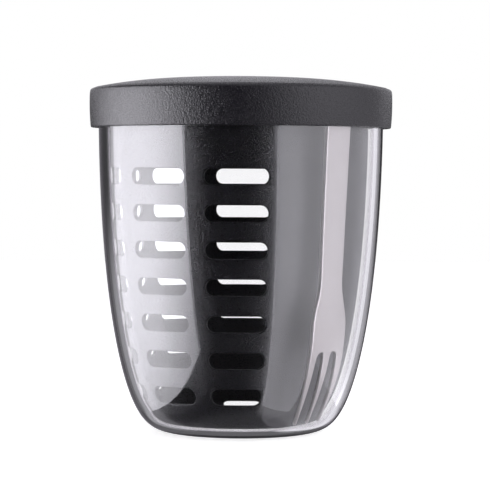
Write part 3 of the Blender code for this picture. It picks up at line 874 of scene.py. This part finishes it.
def brushed_steel(name, colour, roughness):
    """Stainless steel, stamped and brushed along its length.

    Fine lines along the fork spread a light into a soft pale band across the handle. They are drawn
    coarser than a real brush leaves them, so that they show.
    """
    material, tree, shader, place = new_material(name)
    stretch = (1.0 / BRUSH_PITCH, 1.0 / BRUSH_PITCH, 1.0 / BRUSH_LENGTH)
    stretched = add_node(tree, "Mapping", {"Vector": place, "Scale": stretch}).outputs["Vector"]
    lines = add_node(
        tree, "TexNoise", {"Vector": stretched, "Scale": 1.0, "Detail": 3.0, "Roughness": 0.6}
    ).outputs["Fac"]
    bump = add_node(tree, "Bump", {"Strength": 0.25, "Distance": 0.01 * MM, "Height": lines})
    rough = add_node(tree, "MapRange", {
        "Value": lines, **NOISE_RANGE, "To Min": roughness - 0.04, "To Max": roughness + 0.05,
    })
    fill(shader, {
        "Base Color": linear(colour), "Metallic": 1.0, "Anisotropic": 0.4,
        "Roughness": rough.outputs["Result"], "Normal": bump.outputs["Normal"],
    })
    return material


def soft_silicone(name, colour):
    """Moulded silicone rubber: a matt, slightly cloudy dark ring."""
    material, tree, shader, place = new_material(name)
    cloud = add_node(tree, "TexNoise", {"Vector": place, "Scale": 1.0 / CLOUD_WIDTH, "Detail": 3.0})
    rough = add_node(tree, "MapRange", {"Value": cloud.outputs["Fac"], "To Min": 0.5, "To Max": 0.68})
    fill(shader, {"Base Color": linear(colour), "Roughness": rough.outputs["Result"], "IOR": 1.43})
    return material


# Studio

# The lamps' slightly violet white
LAMP_TINT = (0.988, 0.973, 1.039)

# Each lamp: its place, the point that it faces, its cloth's width and height, and what sees it
MIDDLE = (0.0, 0.0, 0.06)
LAMPS = {
    "left softbox": ((-0.511, -0.008, 0.115), (0.479, 0.131, 0.378), 0.858, 0.796, ("gloss", "inside")),
    "right softbox": ((0.473, 0.163, 0.12), MIDDLE, 0.8, 0.7, ("inside",)),
    "front softbox": ((0.709, -0.554, -0.12), (0.0, 0.0, -0.12), 0.73, 1.9, ("inside",)),
    "rear softbox": ((0.0, 0.8, 0.325), (0.0, 0.0, 0.11), 1.4, 0.35, ("gloss",)),
    "soft key": ((-0.7, -0.9, 0.9), MIDDLE, 0.8, 0.8, ("diffuse",)),
    "soft fill": ((0.9, -0.6, 0.7), MIDDLE, 0.8, 0.8, ("diffuse",)),
}
LEFT_SPREAD = 120.0
LEFT_ROLL = math.radians(5.5)
# The left softbox grows from one level to another between two shares of its width and of its height
LEFT_ACROSS = {"From Min": 0.2, "From Max": 0.9, "To Min": 0.9, "To Max": 1.06}
LEFT_UP = {"From Min": 0.0, "From Max": 0.42, "To Min": 0.62, "To Max": 1.06}

# The studio's walls: brightness at angles from the back (0) to the right (+) and to the left (-).
# The bright edges beside the dark back wall, above the horizon and below it, come first.
EDGES_ABOVE = (-40.5, 25.5)
EDGES_BELOW = (-27.0, 20.0)
SIDE_STOPS = (
    (56.0, 0.52), (74.0, 0.5), (82.0, 0.7), (92.0, 1.05), (101.0, 1.05), (108.0, 1.1),
    (116.0, 1.15), (124.0, 1.2), (138.0, 1.2), (147.0, 1.0), (153.0, 0.05), (180.0, 0.02),
)
# The same far below the horizon, which only the clear foot and the fork's head mirror
LOW_STOPS = (
    (-180.0, 0.04), (-68.0, 0.04), (-62.0, 0.36), (-33.0, 0.36), (-27.0, 0.12), (21.0, 0.12),
    (26.0, 0.85), (45.0, 0.8), (55.0, 0.85), (72.0, 0.85), (84.0, 0.6), (100.0, 0.6),
    (112.0, 0.65), (149.0, 0.7), (155.0, 0.05), (180.0, 0.04),
)
# Heights of the view direction between which each band of the studio takes over
HORIZON = (-0.02, -0.14)
CEILING = (0.6, 0.95)
LOW_WALLS = (-0.2, -0.36)
TABLE = (-0.80, -0.88)

# The camera and the table
LENS = 169.0
TABLE_REACH = 1.5
TABLE_HEIGHT = -0.2 * MM
TABLE_GLOW = 0.75


def wall_stops(left, right):
    """Stops all round; the dark back wall with its bright middle lies between two lit edges."""
    back = (
        (-180.0, 0.02), (-68.0, 0.02), (-63.0, 0.3), (left - 3.0, 0.32), (left, 0.05),
        (-22.0, 0.05), (-14.0, 0.2), (-3.0, 0.2), (-2.0, 0.5), (1.0, 0.5), (2.0, 0.05),
        (right - 4.0, 0.04), (right, 0.6), (right + 6.0, 0.42), (46.0, 0.33),
    )
    return back + SIDE_STOPS


def stand(thing, place, tilt, turn, roll):
    """Put a lamp or the camera in its place, tilted up from straight down, turned about Z and rolled."""
    bpy.context.scene.collection.objects.link(thing)
    thing.location = place
    thing.rotation_mode = "QUATERNION"
    facing = Euler((tilt, 0.0, turn)).to_quaternion()
    thing.rotation_quaternion = facing @ Quaternion((0.0, 0.0, 1.0), roll)


def softbox(name, brightness, spread=180.0, roll=0.0):
    """A rectangular studio lamp that faces a point; its brightness is 1 for white, seen square on.

    A spread below 180 degrees narrows its light. The energy is then cut by the share that keeps the
    brightness square on: 1 - half the spread / tangent of half the spread.
    """
    place, aim, width, height, seen_by = LAMPS[name]
    light = bpy.data.lights.new(name, "AREA")
    light.shape = "RECTANGLE"
    light.size, light.size_y = width, height
    light.spread = math.radians(spread)
    light.color = LAMP_TINT
    half = math.radians(0.5 * spread)
    gathered = 1.0 - half / math.tan(half) if spread < 180.0 else 1.0
    light.energy = brightness * math.pi * width * height * gathered
    lamp = bpy.data.objects.new(name, light)
    away = np.asarray(place) - np.asarray(aim)
    tilt = math.atan2(math.hypot(away[0], away[1]), away[2])
    stand(lamp, place, tilt, math.atan2(away[0], -away[1]), roll)
    lamp.visible_camera = False
    lamp.visible_diffuse = "diffuse" in seen_by
    lamp.visible_glossy = "gloss" in seen_by
    lamp.visible_transmission = "inside" in seen_by
    return lamp


def grade_softbox(lamp, across, up):
    """Let a softbox grow from one level to another, across its cloth and up it."""
    lamp.data.use_nodes = True
    tree = lamp.data.node_tree
    place = add_node(tree, "NewGeometry").outputs["Parametric"]
    axes = add_node(tree, "SeparateXYZ", {"Vector": place}).outputs
    shares = {}
    for number, levels in enumerate((across, up)):
        shares[number] = add_node(
            tree, "MapRange", {"Value": axes[number], **levels}, interpolation_type="SMOOTHSTEP"
        ).outputs["Result"]
    level = add_node(tree, "Math", shares, operation="MULTIPLY")
    cloth = next(node for node in tree.nodes if node.type == "EMISSION")
    fill(cloth, {"Strength": level.outputs["Value"]})


def studio_band(tree, around, stops):
    """Brightness round one band of the studio: a ramp through angles and levels, in the lamps' white."""
    ramp = add_node(tree, "ValToRGB", {"Fac": around})
    elements = ramp.color_ramp.elements
    elements.remove(elements[1])
    for number, (angle, level) in enumerate(stops):
        place = (angle + 180.0) / 360.0
        element = elements.new(place) if number else elements[0]
        element.position = place
        element.color = tuple(level * part for part in LAMP_TINT) + (1.0,)
    return ramp.outputs["Color"]


def studio_world(studio):
    """White to the camera and through the clear plastic; a plain grey studio to all that it lights."""
    world = bpy.data.worlds.new("studio walls")
    bpy.context.scene.world = world
    world.use_nodes = True
    tree = world.node_tree
    tree.nodes.clear()
    direction = add_node(tree, "TexCoord").outputs["Generated"]
    x, y, height = add_node(tree, "SeparateXYZ", {"Vector": direction}).outputs
    azimuth = add_node(tree, "Math", {0: x, 1: y}, operation="ARCTAN2").outputs["Value"]
    around = add_node(
        tree, "MapRange", {"Value": azimuth, "From Min": -math.pi, "From Max": math.pi}
    ).outputs["Result"]
    room = studio_band(tree, around, wall_stops(*EDGES_ABOVE))
    for (start, end), stops in (
        (HORIZON, wall_stops(*EDGES_BELOW)), (CEILING, [(0.0, studio.ceiling_level)]),
        (LOW_WALLS, LOW_STOPS), (TABLE, [(0.0, studio.table_level)]),
    ):
        share = add_node(
            tree, "MapRange", {"Value": height, "From Min": start, "From Max": end},
            interpolation_type="SMOOTHSTEP",
        ).outputs["Result"]
        band = studio_band(tree, around, stops)
        room = add_node(tree, "Mix", {0: share, 6: room, 7: band}, data_type="RGBA").outputs[2]
    path = add_node(tree, "LightPath").outputs
    depth = add_node(
        tree, "Math", {0: path["Glossy Depth"], 1: path["Diffuse Depth"]}, operation="ADD"
    ).outputs["Value"]
    lit = add_node(tree, "Math", {0: depth, 1: 0.5}, operation="GREATER_THAN").outputs["Value"]
    through = add_node(tree, "MapRange", {
        "Value": path["Is Transmission Ray"], "To Min": 1.0, "To Max": studio.through_level,
    }).outputs["Result"]
    seen = add_node(tree, "Mix", {0: lit, 6: through, 7: room}, data_type="RGBA").outputs[2]
    background = add_node(tree, "Background", {"Color": seen, "Strength": 1.0})
    add_node(tree, "OutputWorld", {"Surface": background.outputs["Background"]})


def floor_material(name):
    """A matt white table, lifted to white for the camera so that only the object's shadow shows."""
    material, tree, shader, _ = new_material(name)
    seen = add_node(tree, "LightPath").outputs["Is Camera Ray"]
    glow = add_node(tree, "Math", {0: seen, 1: TABLE_GLOW}, operation="MULTIPLY")
    fill(shader, {
        "Base Color": linear("#F4F4F4"), "Roughness": 0.9, "Emission Color": (1.0, 1.0, 1.0, 1.0),
        "Emission Strength": glow.outputs["Value"],
    })
    return material


def make_table():
    """A flat square under the pot; reflections and the clear plastic show the studio's walls instead."""
    x, y = (TABLE_REACH * np.array(signs) for signs in ((-1.0, 1.0, 1.0, -1.0), (-1.0, -1.0, 1.0, 1.0)))
    points = np.stack([x, y, np.full(4, TABLE_HEIGHT)], axis=1)
    table = mesh_object("table_top", points, [(0, 1, 2, 3)])
    table.data.materials.append(floor_material("white table, matt"))
    table.visible_glossy = False
    table.visible_transmission = False


def make_camera(studio):
    """A long lens at the photograph's eye height, which looks a little down and leans a little."""
    data = bpy.data.cameras.new("camera")
    data.sensor_width = 36.0
    data.lens = LENS
    data.clip_start, data.clip_end = 0.01, 50.0
    camera = bpy.data.objects.new("camera", data)
    place = (studio.camera_side, -studio.camera_distance, studio.camera_height)
    stand(camera, place, math.radians(90.0) - studio.camera_pitch, 0.0, studio.camera_roll)
    bpy.context.scene.camera = camera


# Settings


def length_of(name, description, default):
    """A length setting."""
    return bpy.props.FloatProperty(
        name=name, description=description, default=default, unit="LENGTH", min=0.0
    )


def angle_of(name, description, degrees):
    """An angle setting."""
    default = math.radians(degrees)
    return bpy.props.FloatProperty(name=name, description=description, default=default, unit="ROTATION")


def level_of(name, default, description="Brightness, 1 is white"):
    """A brightness setting."""
    return bpy.props.FloatProperty(name=name, description=description, default=default, min=0.0)


def colour_of(name, description, default):
    """A colour setting: an sRGB hex value."""
    return bpy.props.StringProperty(name=name, description=description, default=default)


class PotSizes(bpy.types.PropertyGroup):
    """Sizes of the pieces that a user would change."""

    pot_wall: length_of("Pot wall", "Thickness of the clear wall", POT_WALL)
    basket_wall: length_of("Basket wall", "Thickness of the basket", 1.5 * MM)
    slot_height: length_of("Slot height", "Height of each slot in the basket", 5.2 * MM)
    fork_thickness: length_of("Fork thickness", "Thickness of the fork's sheet", 1.2 * MM)
    fork_edge: length_of("Fork edge", "Rounding of the fork's edges", 0.3 * MM)
    lid_wall: length_of("Lid wall", "Thickness of the lid", 2.0 * MM)
    grain: length_of("Grain", "Width of one pebble of the moulded grain", 0.55 * MM)


class PotColours(bpy.types.PropertyGroup):
    """Colours of the pieces."""

    clear_body: colour_of("Clear body", "Clear plastic seen square on", "#FBFBFC")
    # Edge colour of the clear plastic: its violet tint, and painted shade that darkens its edges
    clear_edge_tint_and_shade: colour_of("Clear edge", "Clear plastic seen on edge", "#D8C4E4")
    basket: colour_of("Basket", "Polypropylene of the basket", "#131118")
    lid: colour_of("Lid", "Polypropylene of the lid", "#16141A")
    steel: colour_of("Steel", "Stainless steel of the fork", "#C0BBBA")
    seal: colour_of("Seal", "Silicone of the seal ring", "#2C2C2E")


class PotStudio(bpy.types.PropertyGroup):
    """Camera and light levels."""

    camera_distance: length_of("Camera distance", "From the pot's axis", 0.7625)
    camera_height: length_of("Camera height", "Above the table", 0.0852)
    camera_side: length_of("Camera side", "To the right of the axis", 1.56 * MM)
    camera_pitch: angle_of("Camera pitch", "Downwards from level", 1.743)
    camera_roll: angle_of("Camera roll", "Lean of the view", 0.28)
    ceiling_level: level_of("Ceiling", 0.4, "Brightness overhead")
    table_level: level_of("Below", 0.16, "Brightness from below")
    left_level: level_of("Left softbox", 5.4)
    right_level: level_of("Right softbox", 0.62)
    front_level: level_of("Front softbox", 1.75)
    rear_level: level_of("Rear softbox", 0.56)
    key_level: level_of("Soft key", 1.8)
    fill_level: level_of("Soft fill", 1.1)
    through_level: level_of("Backdrop", 1.2, "Brightness through the pot")


# Operators


def finish_piece(piece, body, node, material):
    """Give a piece its material and material slot, hang it on its body, and hide its CAD node."""
    piece.data.materials.clear()
    piece.data.materials.append(material)
    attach(piece, body)
    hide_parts(node)


class SALADPOT_OT_pot(bpy.types.Operator):
    """Build the clear pot"""

    bl_idname = "saladpot.pot"
    bl_label = "Clear pot"

    def execute(self, context):
        size, colours = context.scene.pot_sizes, context.scene.pot_colours
        piece = turned("pot_shell", pot_profile(size.pot_wall), TURN_STEPS)
        material = clear_styrene(
            "clear styrene acrylonitrile, moulded", colours.clear_body, colours.clear_edge_tint_and_shade
        )
        finish_piece(piece, "pot", "outer_pot", material)
        return {"FINISHED"}


class SALADPOT_OT_basket(bpy.types.Operator):
    """Build the slotted strainer basket"""

    bl_idname = "saladpot.basket"
    bl_label = "Strainer basket"

    def execute(self, context):
        size, colours = context.scene.pot_sizes, context.scene.pot_colours
        piece = basket_mesh(size)
        material = grained_polypropylene(
            "polypropylene, spark-eroded grain, basket", colours.basket, roughness=0.29, grain=size.grain,
            depth=0.058 * MM, sheen_level=0.85,
        )
        mark_bay(piece)
        finish_piece(piece, "strainer", "strainer_basket", material)
        return {"FINISHED"}


class SALADPOT_OT_fork(bpy.types.Operator):
    """Build the steel fork"""

    bl_idname = "saladpot.fork"
    bl_label = "Fork"

    def execute(self, context):
        size, colours = context.scene.pot_sizes, context.scene.pot_colours
        piece = fork_mesh(size)
        material = brushed_steel("stainless steel, brushed", colours.steel, roughness=0.33)
        finish_piece(piece, "fork", "fork", material)
        return {"FINISHED"}


class SALADPOT_OT_lid(bpy.types.Operator):
    """Build the lid and its seal"""

    bl_idname = "saladpot.lid"
    bl_label = "Lid and seal"

    def execute(self, context):
        size, colours = context.scene.pot_sizes, context.scene.pot_colours
        piece = turned("lid_shell", lid_profile(size.lid_wall), TURN_STEPS)
        material = grained_polypropylene(
            "polypropylene, spark-eroded grain, lid", colours.lid, roughness=0.27, grain=size.grain,
            depth=0.11 * MM, sheen_level=0.80,
        )
        finish_piece(piece, "lid", "lid", material)
        ring = turned("seal_ring", seal_profile(), SEAL_STEPS)
        rubber = soft_silicone("silicone, moulded", colours.seal)
        finish_piece(ring, "lid", "lid_seal", rubber)
        return {"FINISHED"}


class SALADPOT_OT_stage(bpy.types.Operator):
    """Set up the camera, the white table and the studio light"""

    bl_idname = "saladpot.stage"
    bl_label = "Studio"

    def execute(self, context):
        studio = context.scene.pot_studio
        context.scene.view_settings.view_transform = "Standard"
        make_camera(studio)
        studio_world(studio)
        make_table()
        left = softbox("left softbox", studio.left_level, LEFT_SPREAD, LEFT_ROLL)
        grade_softbox(left, LEFT_ACROSS, LEFT_UP)
        softbox("right softbox", studio.right_level)
        softbox("front softbox", studio.front_level)
        softbox("rear softbox", studio.rear_level)
        softbox("soft key", studio.key_level)
        softbox("soft fill", studio.fill_level)
        return {"FINISHED"}


class SALADPOT_PT_panel(bpy.types.Panel):
    """Lists the pieces in the sidebar"""

    bl_idname = "SALADPOT_PT_panel"
    bl_label = "Salad pot"
    bl_space_type = "VIEW_3D"
    bl_region_type = "UI"
    bl_category = "Salad pot"

    def draw(self, context):
        layout = self.layout
        for operator in OPERATORS:
            layout.operator(operator.bl_idname)
        for group in SETTINGS:
            box = layout.box()
            settings = getattr(context.scene, group)
            for name in settings.bl_rna.properties.keys():
                if name not in ("rna_type", "name"):
                    box.prop(settings, name)


OPERATORS = (SALADPOT_OT_stage, SALADPOT_OT_pot, SALADPOT_OT_basket, SALADPOT_OT_fork, SALADPOT_OT_lid)
SETTINGS = {"pot_sizes": PotSizes, "pot_colours": PotColours, "pot_studio": PotStudio}
CLASSES = (PotSizes, PotColours, PotStudio) + OPERATORS + (SALADPOT_PT_panel,)


def register():
    """Register the classes and hang the settings on the scene."""
    for item in CLASSES:
        bpy.utils.register_class(item)
    for name, group in SETTINGS.items():
        setattr(bpy.types.Scene, name, bpy.props.PointerProperty(type=group))


def unregister():
    """Take the settings and classes away again."""
    for name in SETTINGS:
        delattr(bpy.types.Scene, name)
    for item in reversed(CLASSES):
        bpy.utils.unregister_class(item)


def main():
    """Build everything."""
    register()
    bpy.ops.saladpot.stage()
    bpy.ops.saladpot.pot()
    bpy.ops.saladpot.basket()
    bpy.ops.saladpot.fork()
    bpy.ops.saladpot.lid()


if __name__ == "__main__":
    main()
